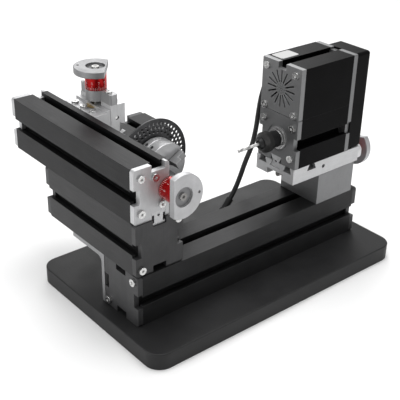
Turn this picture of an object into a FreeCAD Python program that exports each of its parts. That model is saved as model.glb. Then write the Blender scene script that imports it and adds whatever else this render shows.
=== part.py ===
"""Modular bench machine of the lathe family, set up for horizontal drilling with a dividing head.

The bed runs along X. The head stands on it at the +X end and feeds along X. The long slide lies
across the bed at the -X end and feeds along Y. Its carriage holds the vertical slide, which
carries the dividing head and its three-jaw chuck. Millimetres, Z up, origin at the middle of the
underside of the base plate.
"""
import FreeCAD
import Part

import math
import os
import re

import Sketcher

SIZES = {
    # Base plate
    "base_long": 304, "base_wide": 186, "base_thick": 16, "base_corner": 15, "base_edge": 1,
    # Aluminium profile with four T-slots
    "profile": 50, "slot_open": 9.5, "slot_lip": 3.5, "slot_wide": 15, "slot_deep": 10,
    "corner_bore": 1.7,
    # End plates and their pan-head screws
    "plate_thick": 5, "plate_corner": 2.5, "notch_wide": 14, "notch_deep": 6,
    "screw_step": 19, "screw_shank": 1.6, "screw_hole": 1.8, "screw_long": 14,
    "screw_head": 3.5, "screw_rise": 2.2, "socket_size": 1.2, "socket_deep": 1.2,
    # Bed, cross beam and long slide body
    "bed_long": 265, "bed_mid": -0.5, "bed_back": 1,
    "cross_long": 132, "cross_left": -138.5, "cross_mid": 23.5,
    "table_long": 186, "table_deep": 36, "table_mid": 52,
    # Angle bracket
    "angle_thick": 4, "angle_bend": 6,
    # Dovetail ways and feed screws
    "groove_mouth": 18, "groove_floor": 22, "groove_deep": 5.5, "way_gap": 0.3,
    "screw_inset": 1.2, "feed_radius": 2.5, "feed_gap": 0.06, "feed_channel": 7,
    "channel_deep": 4.5, "nut_wide": 13, "nut_long": 10, "nut_below": 9.5, "nut_above": 4.7,
    "turn_gap": 0.05,
    # Handwheels and dials
    "wheel_radius": 20, "wheel_thick": 6, "wheel_flat": 10, "wheel_dish": 9, "dish_deep": 2,
    "grip_hole": 1.3, "grip_place": 16, "dial_radius": 10.1, "dial_long": 15, "boss_radius": 6.5,
    "bolt_head": 3.4, "bolt_rise": 1.6, "bolt_socket": 1.5,
    # Carriage on the long slide
    "block_long": 50, "carriage_thick": 12.7, "carriage_mid": 89, "way_thick": 4.9, "way_top": 168,
    "gib_step": 14.5, "gib_hole": 2,
    # Slide plates
    "slide_long": 91, "slide_thick": 15.5, "side_mouth": 6.5, "side_floor": 10.5,
    "side_deep": 6, "side_place": 16.6, "centre_mouth": 8, "centre_floor": 14, "centre_deep": 6,
    "cross_place": 24.5, "cross_floor": 12.4, "cross_mouth": 7,
    # Vertical slide and dividing head
    "z_top": 172, "z_bracket": 10, "z_bracket_wide": 8.2, "z_bracket_corner": 2, "z_boss": 10,
    "divider_z": 111.5, "divider_front": 59, "divider_long": 38,
    "divider_spindle": 6, "bearing_radius": 9.5, "bearing_wide": 5,
    "index_radius": 40, "index_thick": 1.2, "index_gap": 3, "index_hub": 14,
    "index_ring": 35, "index_step": 4, "index_hole": 1.35, "index_count": 48, "count_step": 6,
    "pin_angle": 62, "pin_radius": 2, "pin_tip": 1, "pin_knob": 4, "pin_back": 4.3,
    "pin_reach": 4.1, "pin_joint": 0.2,
    "chuck_radius": 22.5, "chuck_body": 12, "chuck_hub": 12, "scroll_wide": 8, "chuck_bore": 5,
    "key_hole": 1.8, "key_deep": 8,
    "jaw_wide": 7, "jaw_reach": 11, "jaw_step": 5, "jaw_inner": 5, "jaw_mid": 12, "jaw_outer": 20,
    "jaw_key": 4,
    # Pedestal and head
    "pedestal_left": 78, "head_left": 42, "head_slide_z": 98,
    "module_tall": 49, "module_long": 63.5, "front_set": 1, "front_screw": 18.6,
    "housing_bore": 12.5, "plate_seam": 0.5, "side_notch": 12, "side_notch_deep": 4, "top_notch": 10,
    "ring_groove": 13, "groove_wide": 1, "ring_deep": 0.5,
    "x_bracket": 5, "x_bracket_drop": 7, "x_bracket_boss": 18, "bracket_corner": 6,
    "cover_long": 19.5, "cover_wide": 39, "cover_front": -48.5, "cover_wall": 2, "cover_corner": 3,
    "vent_inner": 6, "vent_outer": 17.5, "vent_wide": 1.4, "vent_count": 16,
    "spindle_radius": 5, "spindle_seat": 11, "spindle_flange": 8,
    "motor_radius": 16, "motor_room": 16.4, "motor_long": 50, "foot_wide": 4,
    "shaft_radius": 1.6, "shaft_hole": 4,
    "pulley_small": 5, "pulley_large": 9.5, "pulley_rim": 1.2, "belt_thick": 1.6, "belt_wide": 4,
    "belt_gap": 0.3, "pulley_place": 120,
    # Drill chuck and drill
    "chuck_back": 41, "chuck_mid": 30, "chuck_face": 21, "chuck_nose": 18.5,
    "drill_body": 8, "drill_core": 5.5, "drill_sleeve": 10, "sleeve_end": 6.8, "sleeve_cone": 3.5,
    "sleeve_gap": 0.08, "nose_radius": 3.8, "drill_radius": 1.5, "drill_tip": -7, "drill_point": 1,
    # Motor lead, gland and plug
    "lead_radius": 2.5, "gland_x": 72, "gland_z": 200, "gland_fall": 40, "gland_radius": 4.5,
    "gland_long": 8, "relief_long": 12, "plug_radius": 4.6, "plug_body": 23, "barrel_radius": 2.75,
    "barrel_long": 9, "rib_count": 6,
}

# Motor lead, from the gland behind the motor housing down to the relief of its plug.
LEAD_ROUTE = [
    (72, 7.128, 194.858), (72, 16.704, 186.823), (71.6, 24.6, 173), (70.8, 29.4, 156.5),
    (69.4, 30.6, 139.5), (67, 30.3, 121.5), (62.5, 30, 104), (54.2, 30, 89), (48.2, 30, 74),
    (41.305, 30, 60.07), (35.32, 30, 52.688),
]
PLUG_TIP = (7.6, 30, 18.5)

doc = FreeCAD.newDocument("ModularMachine")
sheet = doc.addObject("Spreadsheet::Sheet", "Dimensions")
for row, (alias, value) in enumerate(SIZES.items(), start=1):
    sheet.set(f"A{row}", alias.replace("_", " "))
    sheet.set(f"B{row}", str(value))
    sheet.setAlias(f"B{row}", alias)
doc.recompute()

probe = doc.addObject("App::FeaturePython", "Probe")
probe.addProperty("App::PropertyFloat", "Value")

parts = []


# ---------------------------------------------------------------- helpers

def formula(text):
    """Turn a formula in plain dimension names into one that reads the sheet."""
    return re.sub(r"[a-z][a-z_]*", lambda w: f"Dimensions.{w[0]}" if w[0] in SIZES else w[0], str(text))


def size(text):
    """Value of a formula in dimension names, for the few numbers that are set in code."""
    probe.setExpression("Value", formula(text))
    probe.recompute()
    return probe.Value


def bind(item, **formulas):
    """Bind properties of an object to formulas over the sheet."""
    for name, text in formulas.items():
        item.setExpression(name, formula(text))


def place(item, at, turn=None):
    """Bind an object's position, after an optional list of (axis, degrees) turns."""
    rotation = FreeCAD.Rotation()
    for axis, degrees in turn or []:
        rotation = FreeCAD.Rotation(FreeCAD.Vector(*axis), degrees).multiply(rotation)
    item.Placement = FreeCAD.Placement(FreeCAD.Vector(), rotation)
    for letter, text in zip("xyz", at):
        item.setExpression(f"Placement.Base.{letter}", formula(text))
    return item


X_AXIS, Y_AXIS, Z_AXIS = (1, 0, 0), (0, 1, 0), (0, 0, 1)
Z_UP = FreeCAD.Vector(0, 0, 1)
# Turns that send the local +Z axis to each direction.
UP, DOWN = [], [(X_AXIS, 180)]
TO_X, FROM_X = [(Y_AXIS, 90)], [(Y_AXIS, -90)]
TO_Y, FROM_Y = [(X_AXIS, -90)], [(X_AXIS, 90)]
# Turns of the dovetail ways: local +Y points out of the sliding block, local +Z along the way.
TONGUE_ALONG_X = [(Z_AXIS, 90), (Y_AXIS, 90)]
TONGUE_ALONG_Y = [(X_AXIS, -90), (Y_AXIS, 90)]
TONGUE_DOWN = [(Z_AXIS, -90), (X_AXIS, 180)]


def block(length, width, height, at):
    """Box from its lowest corner."""
    item = doc.addObject("Part::Box", "Block")
    bind(item, Length=length, Width=width, Height=height)
    return place(item, at)


def rod(radius, length, at, turn=None):
    """Cylinder from the middle of its first face, along the turned Z axis."""
    item = doc.addObject("Part::Cylinder", "Rod")
    bind(item, Radius=radius, Height=length)
    return place(item, at, turn)


def taper(radius, end_radius, length, at, turn=None):
    """Cone frustum from the middle of its first face."""
    item = doc.addObject("Part::Cone", "Taper")
    bind(item, Radius1=radius, Radius2=end_radius, Height=length)
    return place(item, at, turn)


def dovetail(mouth, floor, depth, length, at, turn=None):
    """Dovetail bar: half widths from mouth to floor over depth (local Y), length along local Z."""
    item = doc.addObject("Part::Wedge", "Dovetail")
    bind(item, Xmin=f"-({mouth})/2", Xmax=f"({mouth})/2", Ymin="0", Ymax=depth, Zmin="0", Zmax=length)
    bind(item, X2min=f"-({floor})/2", X2max=f"({floor})/2", Z2min="0", Z2max=length)
    return place(item, at, turn)


def fuse(*items):
    """Union of several solids."""
    joined = doc.addObject("Part::MultiFuse", "Fuse")
    joined.Shapes = list(items)
    joined.Refine = True
    return joined


def cut(base, *tools):
    """Base solid less the tools."""
    result = doc.addObject("Part::Cut", "Cut")
    result.Base = base
    result.Tool = tools[0] if len(tools) == 1 else group(tools)
    result.Refine = True
    return result


def group(items):
    """Several separate solids as one object."""
    compound = doc.addObject("Part::Compound", "Group")
    compound.Links = list(items)
    return compound


def rounded(item, radius, chosen):
    """Fillet the edges for which chosen(edge) is true."""
    doc.recompute()
    fillet = doc.addObject("Part::Fillet", "Round")
    fillet.Base = item
    value = size(radius)
    picked = [i for i, edge in enumerate(item.Shape.Edges, start=1) if chosen(edge)]
    fillet.Edges = [(i, value, value) for i in picked]
    return fillet


def runs_along(edge, axis):
    """True for a straight edge parallel to the axis."""
    if edge.Curve.TypeId != "Part::GeomLine":
        return False
    return edge.Curve.Direction.cross(FreeCAD.Vector(*axis)).Length < 1e-6


def node(label, item):
    """Name a finished sub-part and keep it for export."""
    item.Label = label
    parts.append(item)
    return item


# ---------------------------------------------------------------- shared pieces

def slot(length, at, turn):
    """T-slot cutter: local Y points out of the profile's face, local Z along the profile."""
    mouth = block("slot_open", "slot_lip + 1", length, ("-slot_open/2", "-slot_lip", "0"))
    wide = block("slot_wide", "slot_deep - slot_lip", length, ("-slot_wide/2", "-slot_deep", "0"))
    return place(fuse(mouth, wide), at, turn)


def profile_blank(length, depth, faces):
    """Profile along local Z with its -X, -Y corner at zero and T-slots on the named faces."""
    half = "profile/2"
    places = {
        "left": (("0", half, "0"), [(Z_AXIS, 90)]),
        "right": ((depth, half, "0"), [(Z_AXIS, -90)]),
        "back": ((half, "profile", "0"), []),
        "front": ((half, "0", "0"), [(Z_AXIS, 180)]),
    }
    tools = [slot(length, *places[face]) for face in faces]
    for across, up in square_grid():
        if depth == "profile":
            tools.append(rod("corner_bore", length, (across, up, "0")))
    return cut(block(depth, "profile", length, ("0", "0", "0")), *tools)


def end_plate(depth, screws, bores=(), notches=("left", "right", "back", "front")):
    """End plate, local Z out of the profile, with notches over the T-slots and screw holes."""
    half = "profile/2"
    tool_places = {
        "left": ("notch_deep", "notch_wide", ("0", f"{half} - notch_wide/2", "0")),
        "right": ("notch_deep", "notch_wide", (f"{depth} - notch_deep", f"{half} - notch_wide/2", "0")),
        "back": ("notch_wide", "notch_deep", (f"{half} - notch_wide/2", "profile - notch_deep", "0")),
        "front": ("notch_wide", "notch_deep", (f"{half} - notch_wide/2", "0", "0")),
    }
    tools = [block(*tool_places[name][:2], "plate_thick", tool_places[name][2]) for name in notches]
    for across, up in screws:
        tools.append(rod("screw_hole", "plate_thick", (across, up, "0")))
    for radius, across, up in bores:
        tools.append(rod(radius, "plate_thick", (across, up, "0")))
    plate = block(depth, "profile", "plate_thick", ("0", "0", "0"))
    plate = rounded(plate, "plate_corner", lambda edge: runs_along(edge, Z_AXIS))
    return plate, tools


def square_grid(step="screw_step", middle="profile/2"):
    """Four screw places about the middle of a square plate."""
    return [(f"{middle} + {across}*{step}", f"{middle} + {up}*{step}")
            for across in (-1, 1) for up in (-1, 1)]


def pan_screw(at, turn, length="screw_long"):
    """Pan-head socket screw, local Z pointing out of the head, head seated at the given place."""
    shank = rod("screw_shank", length, ("0", "0", f"-({length})"))
    head = rod("screw_head", "screw_rise", ("0", "0", "0"))
    socket = rod("socket_size", "socket_deep", ("0", "0", "screw_rise - socket_deep"))
    return place(cut(fuse(shank, head), socket), at, turn)


def feed_screw(length, at, turn):
    """Feed screw along local Z, with its bolt head in the dish of the handwheel at the end."""
    shaft = rod("feed_radius", f"{length} - dish_deep", ("0", "0", "0"))
    head = rod("bolt_head", "bolt_rise", ("0", "0", f"{length} - dish_deep"))
    socket = rod("bolt_socket", "bolt_rise", ("0", "0", f"{length} - dish_deep"))
    return place(cut(fuse(shaft, head), socket), at, turn)


def dial(at, turn):
    """Plain collar for the graduations, bored for the feed screw."""
    collar = rod("dial_radius", "dial_long", ("0", "0", "0"))
    return place(cut(collar, rod("feed_radius", "dial_long", ("0", "0", "0"))), at, turn)


def handwheel(at, turn, flat_angle):
    """Handwheel with one flat, local Z out of its face; flat_angle is measured from local +X."""
    disc = rod("wheel_radius", "wheel_thick", ("0", "0", "0"))
    disc = rounded(disc, "0.6", lambda edge: edge.Curve.TypeId == "Part::GeomCircle")
    flat = block("wheel_radius", "2*wheel_radius", "wheel_thick", ("wheel_flat", "-wheel_radius", "0"))
    dish = rod("wheel_dish", "dish_deep", ("0", "0", "wheel_thick - dish_deep"))
    bore = rod("feed_radius", "wheel_thick", ("0", "0", "0"))
    grip = rod("grip_hole", "wheel_thick", ("-grip_place", "0", "0"))
    wheel = cut(disc, flat, dish, bore, grip)
    return place(wheel, at, [(Z_AXIS, flat_angle)] + turn)


def tongue(length, at, turn):
    """Male dovetail standing on a block's face, local Y out of the block, local Z along it."""
    spread = "groove_floor - groove_mouth"
    base = f"groove_mouth - 2*way_gap - way_gap*({spread})/groove_deep"
    return dovetail(base, f"{base} + {spread}", "groove_deep", length, at, turn)


def tongue_channel(length, at, turn, nut_start="0"):
    """Cutter for the feed screw's channel and the nut's pocket, measured from the groove's mouth."""
    channel = block("feed_channel", "channel_deep + groove_deep", length,
                    ("-feed_channel/2", "-channel_deep", "0"))
    pocket = block("nut_wide", "nut_below + groove_deep", "nut_long",
                   ("-nut_wide/2", "-nut_below", nut_start))
    return place(fuse(channel, pocket), at, turn)


def feed_nut(at, turn):
    """Brass feed nut in the pocket of a block, local Y out of the block, bored for the screw."""
    body = block("nut_wide", "nut_below + nut_above", "nut_long", ("-nut_wide/2", "-nut_below", "0"))
    bore = rod("feed_radius + feed_gap", "nut_long", ("0", "screw_inset", "0"))
    return place(cut(body, bore), at, turn)


def slide_plate(at, turn, hole):
    """Slide plate along local Z: feed groove under it, three dovetail grooves on its outer face.

    Local Y points from the groove's mouth into the plate, local X is across it. The hole in its
    side is given by its height above the mouth and its distance along the plate.
    """
    plate = block("profile", "slide_thick", "slide_long", ("-profile/2", "0", "0"))
    feed_groove = dovetail("groove_mouth", "groove_floor", "groove_deep", "slide_long", ("0", "0", "0"))
    tools = [feed_groove]
    for side in (-1, 1):
        tools.append(dovetail("side_floor", "side_mouth", "side_deep", "slide_long",
                              (f"{side}*side_place", "slide_thick - side_deep", "0")))
    tools.append(dovetail("centre_floor", "centre_mouth", "centre_deep", "slide_long",
                          ("0", "slide_thick - centre_deep", "0")))
    tools.append(dovetail("cross_floor", "cross_mouth", "side_deep", "profile",
                          ("-profile/2", "slide_thick - side_deep", "cross_place"), [(Y_AXIS, 90)]))
    tools.append(rod("gib_hole", "key_deep", ("-profile/2", *hole), TO_X))
    return place(cut(plate, *tools), at, turn)


def bearing(outer, inner, width, at, turn):
    """Ball bearing as one ring, grooved between its races on both faces."""
    ring = cut(rod(outer, width, ("0", "0", "0")), rod(inner, width, ("0", "0", "0")))
    middle = f"({outer} + {inner})/2"
    grooves = []
    for level in ("0", f"{width} - 0.5"):
        wide = rod(f"{middle} + 1", "0.5", ("0", "0", level))
        grooves.append(cut(wide, rod(f"{middle} - 1", "0.5", ("0", "0", level))))
    return place(cut(ring, *grooves), at, turn)


def sketch_body(label):
    """PartDesign body of one sub-part."""
    return doc.addObject("PartDesign::Body", label)


def sketch_on(body, plane):
    """Sketch on one of a body's origin planes."""
    sketch = body.newObject("Sketcher::SketchObject", "Sketch")
    support = next(f for f in body.Origin.OriginFeatures if f.Role == plane)
    sketch.AttachmentSupport = [(support, "")]
    sketch.MapMode = "FlatFace"
    return sketch


def circle_in(sketch, radius, x="0", y="0"):
    """Circle whose radius and centre are bound to formulas."""
    index = sketch.addGeometry(Part.Circle(FreeCAD.Vector(size(x), size(y), 0), Z_UP, size(radius)))
    number = sketch.addConstraint(Sketcher.Constraint("Radius", index, size(radius)))
    bind_constraint(sketch, number, radius)
    if (x, y) == ("0", "0"):
        sketch.addConstraint(Sketcher.Constraint("Coincident", index, 3, -1, 1))
        return
    for kind, text in (("DistanceX", x), ("DistanceY", y)):
        number = sketch.addConstraint(Sketcher.Constraint(kind, -1, 1, index, 3, size(text)))
        bind_constraint(sketch, number, text)


def rectangle_in(sketch, left, bottom, right, top):
    """Rectangle whose four sides are bound to formulas."""
    corners = [(left, bottom), (right, bottom), (right, top), (left, top)]
    points = [FreeCAD.Vector(size(x), size(y), 0) for x, y in corners]
    first = sketch.GeometryCount
    for start, end in zip(points, points[1:] + points[:1]):
        sketch.addGeometry(Part.LineSegment(start, end))
    for side in range(4):
        sketch.addConstraint(Sketcher.Constraint("Coincident", first + side, 2, first + (side + 1) % 4, 1))
        sketch.addConstraint(Sketcher.Constraint(("Horizontal", "Vertical")[side % 2], first + side))
    for corner, (x, y) in ((0, (left, bottom)), (2, (right, top))):
        for kind, text in (("DistanceX", x), ("DistanceY", y)):
            number = sketch.addConstraint(
                Sketcher.Constraint(kind, -1, 1, first + corner, 1, size(text)))
            bind_constraint(sketch, number, text)


def bind_constraint(sketch, number, text):
    """Drive one sketch constraint from the sheet."""
    sketch.setExpression(f"Constraints[{number}]", formula(text))


def pad(body, sketch, length):
    """Pad a sketch along its normal."""
    feature = body.newObject("PartDesign::Pad", "Pad")
    feature.Profile = sketch
    bind(feature, Length=length)
    return feature


def pocket_through(body, sketch):
    """Cut a sketch right through the body, both ways."""
    feature = body.newObject("PartDesign::Pocket", "Pocket")
    feature.Profile = sketch
    feature.Type = "ThroughAll"
    feature.Midplane = True
    return feature


def polar(body, feature, sketch, count):
    """Repeat a feature round the sketch's normal."""
    pattern = body.newObject("PartDesign::PolarPattern", "Pattern")
    pattern.Originals = [feature]
    pattern.Axis = (sketch, ["N_Axis"])
    pattern.Angle = 360
    bind(pattern, Occurrences=count)
    body.Tip = pattern
    return pattern


# Places of the main units, as formulas over the sheet.
BED_TOP = "base_thick + profile"
CROSS_TOP = "base_thick + 2*profile"
TABLE_TOP = "base_thick + 3*profile"
BED_FRONT = "bed_back - profile"
HEAD_Y = "bed_back - profile/2"
TABLE_FACE = "cross_left + table_deep"
TABLE_Z = "base_thick + 2.5*profile"
Y_SCREW_X = f"{TABLE_FACE} - screw_inset"
TABLE_FRONT = "table_mid - table_long/2 - plate_thick"
WAY_FACE = f"{TABLE_FACE} + way_gap + carriage_thick + way_thick"
Z_MOUTH = f"{WAY_FACE} + way_gap"
Z_SCREW_X = f"{Z_MOUTH} + screw_inset"
Z_OUTER = f"{Z_MOUTH} + slide_thick"
DIVIDER_X = f"{Z_OUTER} + profile/2"
HEAD_TOP_PLATE = "head_slide_z + slide_thick"
SPINDLE_Z = f"{HEAD_TOP_PLATE} + module_tall/2"
MOTOR_Z = f"{HEAD_TOP_PLATE} + 1.5*module_tall"
HEAD_FRONT = "head_left + front_set"
HEAD_BODY = f"{HEAD_FRONT} + plate_thick"
HEAD_REAR = f"{HEAD_BODY} + module_long"
COVER_X = f"{HEAD_REAR} + plate_thick"
X_SCREW_Z = "head_slide_z + screw_inset"
CHUCK_REAR = "divider_front - index_gap - index_thick - 1"
PULLEY_WIDE = "(belt_wide + 2*belt_gap + 2*pulley_rim)"
JAW_ANGLES = (90, 210, 330)
SLIDE_END = "head_left + slide_long"


# ---------------------------------------------------------------- fixed frame

def base_plate():
    body = sketch_body("BasePlate")
    outline = sketch_on(body, "XY_Plane")
    rectangle_in(outline, "-base_long/2", "-base_wide/2", "base_long/2", "base_wide/2")
    slab = pad(body, outline, "base_thick")
    doc.recompute()
    uprights = [f"Edge{i}" for i, e in enumerate(slab.Shape.Edges, 1) if runs_along(e, Z_AXIS)]
    corners = body.newObject("PartDesign::Fillet", "Corners")
    corners.Base = (slab, uprights)
    bind(corners, Radius="base_corner")
    doc.recompute()
    thickness = size("base_thick")
    rim = [f"Edge{i}" for i, e in enumerate(corners.Shape.Edges, 1)
           if all(abs(v.Z - thickness) < 1e-6 for v in e.Vertexes)]
    edge = body.newObject("PartDesign::Fillet", "TopEdge")
    edge.Base = (corners, rim)
    bind(edge, Radius="base_edge")
    body.Tip = edge
    node("base_plate", body)


def diagonal(first, second):
    """Two screw places on a diagonal of a square plate, each -1 or 1 across and up."""
    return [(f"profile/2 + {across}*screw_step", f"profile/2 + {up}*screw_step")
            for across, up in (first, second)]


BED_SCREWS = diagonal((-1, -1), (1, 1))
CROSS_SCREWS = diagonal((1, -1), (-1, 1))


def beam(name, rail_depth, length, start, end, place_at, turn, screws, faces=None, boss=None):
    """Profile and its two end plates; place_at(level) gives the corner at a level along the beam."""
    faces = faces or ("left", "right", "back", "front")
    rail = place(profile_blank(length, rail_depth, faces), place_at(start), turn)
    plates = []
    for level in (f"{start} - plate_thick", end):
        plate, tools = end_plate(rail_depth, screws, notches=faces)
        if boss:
            plate = fuse(plate, rod("boss_radius", "plate_thick", (*boss, "0")))
            tools.append(rod("feed_radius + feed_gap", "plate_thick", (*boss, "0")))
        plates.append(place(cut(plate, *tools), place_at(level), turn))
    node(f"{name}_end_plates", group(plates))
    return rail


def bed():
    """Bed along X: local X runs down and local Y to the back."""
    start = "bed_mid - bed_long/2"
    rail = beam("bed", "profile", "bed_long", start, "bed_mid + bed_long/2",
                lambda level: (level, BED_FRONT, BED_TOP), TO_X, BED_SCREWS)
    node("bed_profile", rail)


def cross_beam():
    """Cross beam along Y: local X runs along +X and local Y down."""
    rail = beam("cross_beam", "profile", "cross_long", "cross_mid - cross_long/2",
                "cross_mid + cross_long/2", lambda level: ("cross_left", level, CROSS_TOP), TO_Y,
                CROSS_SCREWS)
    node("cross_beam_profile", rail)


# Places of the table plate's screws, from its upper left corner.
TABLE_SCREWS = [("7", "8.5"), ("21", "11"), ("28", "37.5"), ("7", "40.5")]


def table():
    """Long slide body: profile cut down on the carriage side, with the feed groove in that face."""
    start = "table_mid - table_long/2"
    rail = beam("table", "table_deep", "table_long", start, "table_mid + table_long/2",
                lambda level: ("cross_left", level, TABLE_TOP), TO_Y, screws=TABLE_SCREWS,
                faces=("left", "front", "back"), boss=("table_deep - screw_inset", "profile/2"))
    groove = dovetail("groove_mouth", "groove_floor", "groove_deep", "table_long",
                      (TABLE_FACE, start, TABLE_Z), TONGUE_ALONG_Y)
    node("table_profile", cut(rail, groove))


def table_connector_bar():
    """I-section bar that ties the table's lower slot to the cross beam's upper slot."""
    centre = "cross_left + profile/2"
    front = "table_mid - table_long/2 - plate_thick"
    neck = block("slot_open - 0.5", "cross_long", "2*slot_lip + 1",
                 (f"{centre} - slot_open/2 + 0.25", front, f"{CROSS_TOP} - slot_lip - 0.5"))
    bars = [neck]
    for level in (f"{CROSS_TOP} + slot_lip + 0.2", f"{CROSS_TOP} - notch_deep"):
        bars.append(block("notch_wide - 0.6", "cross_long", "notch_deep - slot_lip - 0.2",
                          (f"{centre} - notch_wide/2 + 0.3", front, level)))
    hole = rod("socket_size", "gland_long", (centre, front, f"{CROSS_TOP} + 2.7"), TO_Y)
    node("table_connector_bar", cut(fuse(*bars), hole))


def angle_bracket():
    """Angle behind the bed that carries the overhanging half of the cross beam."""
    upright = block("profile", "angle_thick", "profile", ("cross_left", "bed_back", "base_thick"))
    shelf = block("profile", "profile", "angle_thick",
                  ("cross_left", "bed_back", f"{BED_TOP} - angle_thick"))
    inner_y = size("bed_back + angle_thick")
    inner_z = size(f"{BED_TOP} - angle_thick")
    bend = rounded(fuse(upright, shelf), "angle_bend", lambda edge: runs_along(edge, X_AXIS)
                   and abs(edge.Vertexes[0].Y - inner_y) < 1e-6
                   and abs(edge.Vertexes[0].Z - inner_z) < 1e-6)
    holes = []
    for side in (-1, 1):
        across = f"cross_left + profile/2 + {side}*screw_step/2"
        holes.append(rod("screw_hole", "angle_thick", (across, "bed_back", "base_thick + profile/2"), TO_Y))
        holes.append(rod("screw_hole", "angle_thick",
                         (across, "bed_back + profile/2 + angle_bend", f"{BED_TOP} - angle_thick")))
    node("angle_bracket", cut(bend, *holes))


def head_pedestal():
    """Block on the bed whose tongue guides the head, with the nut of the head's feed screw."""
    left = "pedestal_left"
    face = "head_slide_z - way_gap"
    tower = block("block_long", "profile", f"{face} - ({BED_TOP})", (left, BED_FRONT, BED_TOP))
    ridge = tongue("block_long", (left, HEAD_Y, face), TONGUE_ALONG_X)
    channel = tongue_channel("block_long", (left, HEAD_Y, "head_slide_z"), TONGUE_ALONG_X)
    node("head_pedestal", cut(fuse(tower, ridge), channel))
    node("x_feed_nut", feed_nut((left, HEAD_Y, "head_slide_z"), TONGUE_ALONG_X))


def frame_plate_screws():
    """Pan-head screws of the bed, cross beam and table end plates."""
    screws = []
    for side, turn in ((-1, FROM_X), (1, TO_X)):
        level = f"bed_mid + {side}*(bed_long/2 + plate_thick)"
        for across, up in BED_SCREWS:
            screws.append(pan_screw((level, f"{BED_FRONT} + {up}", f"{BED_TOP} - ({across})"), turn))
    beams = (
        (CROSS_SCREWS, "cross_mid", "cross_long", CROSS_TOP, "screw_long"),
        (TABLE_SCREWS, "table_mid", "table_long", TABLE_TOP, "plate_thick"),
    )
    for places, middle, length, top, reach in beams:
        for side, turn in ((-1, FROM_Y), (1, TO_Y)):
            level = f"{middle} + {side}*({length}/2 + plate_thick)"
            for across, down in places:
                at = (f"cross_left + {across}", level, f"{top} - ({down})")
                screws.append(pan_screw(at, turn, reach))
    node("frame_plate_screws", group(screws))


# ---------------------------------------------------------------- long slide and carriage

def long_slide():
    """Feed screw, dial and handwheel in front of the long slide."""
    plate = f"{TABLE_FRONT} - way_gap"
    wheel = f"{plate} - dial_long"
    back = "table_mid + table_long/2 + plate_thick - 1"
    node("y_leadscrew", feed_screw(f"{back} - ({wheel} - wheel_thick)", (Y_SCREW_X, back, TABLE_Z), FROM_Y))
    node("y_dial", dial((Y_SCREW_X, plate, TABLE_Z), FROM_Y))
    node("y_handwheel", handwheel((Y_SCREW_X, wheel, TABLE_Z), FROM_Y, 180))


def carriage():
    """Block on the long slide, with the vertical way plate, two feed nuts and the gib screws."""
    face = f"{TABLE_FACE} + way_gap"
    start = "carriage_mid - block_long/2"
    bottom = f"{CROSS_TOP} + way_gap"
    body = block("carriage_thick", "block_long", f"{TABLE_TOP} - ({bottom})", (face, start, bottom))
    way_tall = f"way_top - ({bottom})"
    way = block("way_thick", "block_long", way_tall, (f"{face} + carriage_thick", start, bottom))
    y_ridge = tongue("block_long", (face, start, TABLE_Z), TONGUE_ALONG_Y)
    z_ridge = tongue(way_tall, (WAY_FACE, "carriage_mid", "way_top"), TONGUE_DOWN)
    y_channel = tongue_channel("block_long", (TABLE_FACE, start, TABLE_Z), TONGUE_ALONG_Y)
    z_channel = tongue_channel(way_tall, (Z_MOUTH, "carriage_mid", "way_top"), TONGUE_DOWN,
                               f"way_top - ({TABLE_TOP})")
    screws = []
    holes = []
    for step in (-1, 0, 1):
        at = (f"{face} + 5", f"carriage_mid + {step}*gib_step", TABLE_TOP)
        holes.append(rod("gib_hole", "key_deep", at, DOWN))
        screws.append(pan_screw(at, UP, "key_deep"))
    node("y_carriage", cut(fuse(body, way, y_ridge, z_ridge), y_channel, z_channel, *holes))
    nuts = [
        feed_nut((TABLE_FACE, start, TABLE_Z), TONGUE_ALONG_Y),
        feed_nut((Z_MOUTH, "carriage_mid", TABLE_TOP), TONGUE_DOWN),
    ]
    node("carriage_feed_nuts", group(nuts))
    node("carriage_gib_screws", group(screws))


# ---------------------------------------------------------------- vertical slide

def vertical_slide():
    """Slide plate of the vertical feed and the bossed bracket that holds its screw."""
    hole = ("slide_thick/2 - 1", "13")
    node("z_slide_plate", slide_plate((Z_MOUTH, "carriage_mid", "z_top"), TONGUE_DOWN, hole))
    bracket = block("z_bracket_wide", "profile", "z_bracket", (Z_MOUTH, "carriage_mid - profile/2", "z_top"))
    bracket = rounded(bracket, "z_bracket_corner", lambda edge: runs_along(edge, Z_AXIS))
    boss = rod("z_boss", "z_bracket", (Z_SCREW_X, "carriage_mid", "z_top"))
    tools = [rod("feed_radius + feed_gap", "z_bracket", (Z_SCREW_X, "carriage_mid", "z_top"))]
    screws = []
    for side in (-1, 1):
        at = (f"{Z_MOUTH} + 2.6", f"carriage_mid + {side}*18")
        tools.append(rod("screw_hole", "z_bracket", (*at, "z_top")))
        screws.append(pan_screw((*at, "z_top + z_bracket"), UP, "z_bracket"))
    node("z_bearing_bracket", cut(fuse(bracket, boss), *tools))
    screws.append(rod("screw_shank", "key_deep - 1",
                      (f"{Z_MOUTH} + slide_thick/2 - 1", "carriage_mid - profile/2 + 1", "z_top - 13"), TO_Y))
    back = "divider_front + 2*plate_thick + divider_long"
    for across, down in square_grid():
        at = (f"{Z_OUTER} + {across}", f"divider_z + profile/2 - ({down})")
        screws.append(pan_screw((at[0], back, at[1]), TO_Y))
        screws.append(rod("screw_shank", "screw_long - 0.8", (at[0], "divider_front + 1", at[1]), TO_Y))
    node("z_slide_screws", group(screws))


def vertical_feed():
    """Feed screw, dial and handwheel above the vertical slide."""
    plate = "z_top + z_bracket + way_gap"
    wheel = f"{plate} + dial_long"
    bottom = "z_top - slide_long + 12"
    node("z_leadscrew",
         feed_screw(f"{wheel} + wheel_thick - ({bottom})", (Z_SCREW_X, "carriage_mid", bottom), UP))
    node("z_dial", dial((Z_SCREW_X, "carriage_mid", plate), UP))
    node("z_handwheel", handwheel((Z_SCREW_X, "carriage_mid", wheel), UP, -40))


# ---------------------------------------------------------------- dividing head

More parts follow.
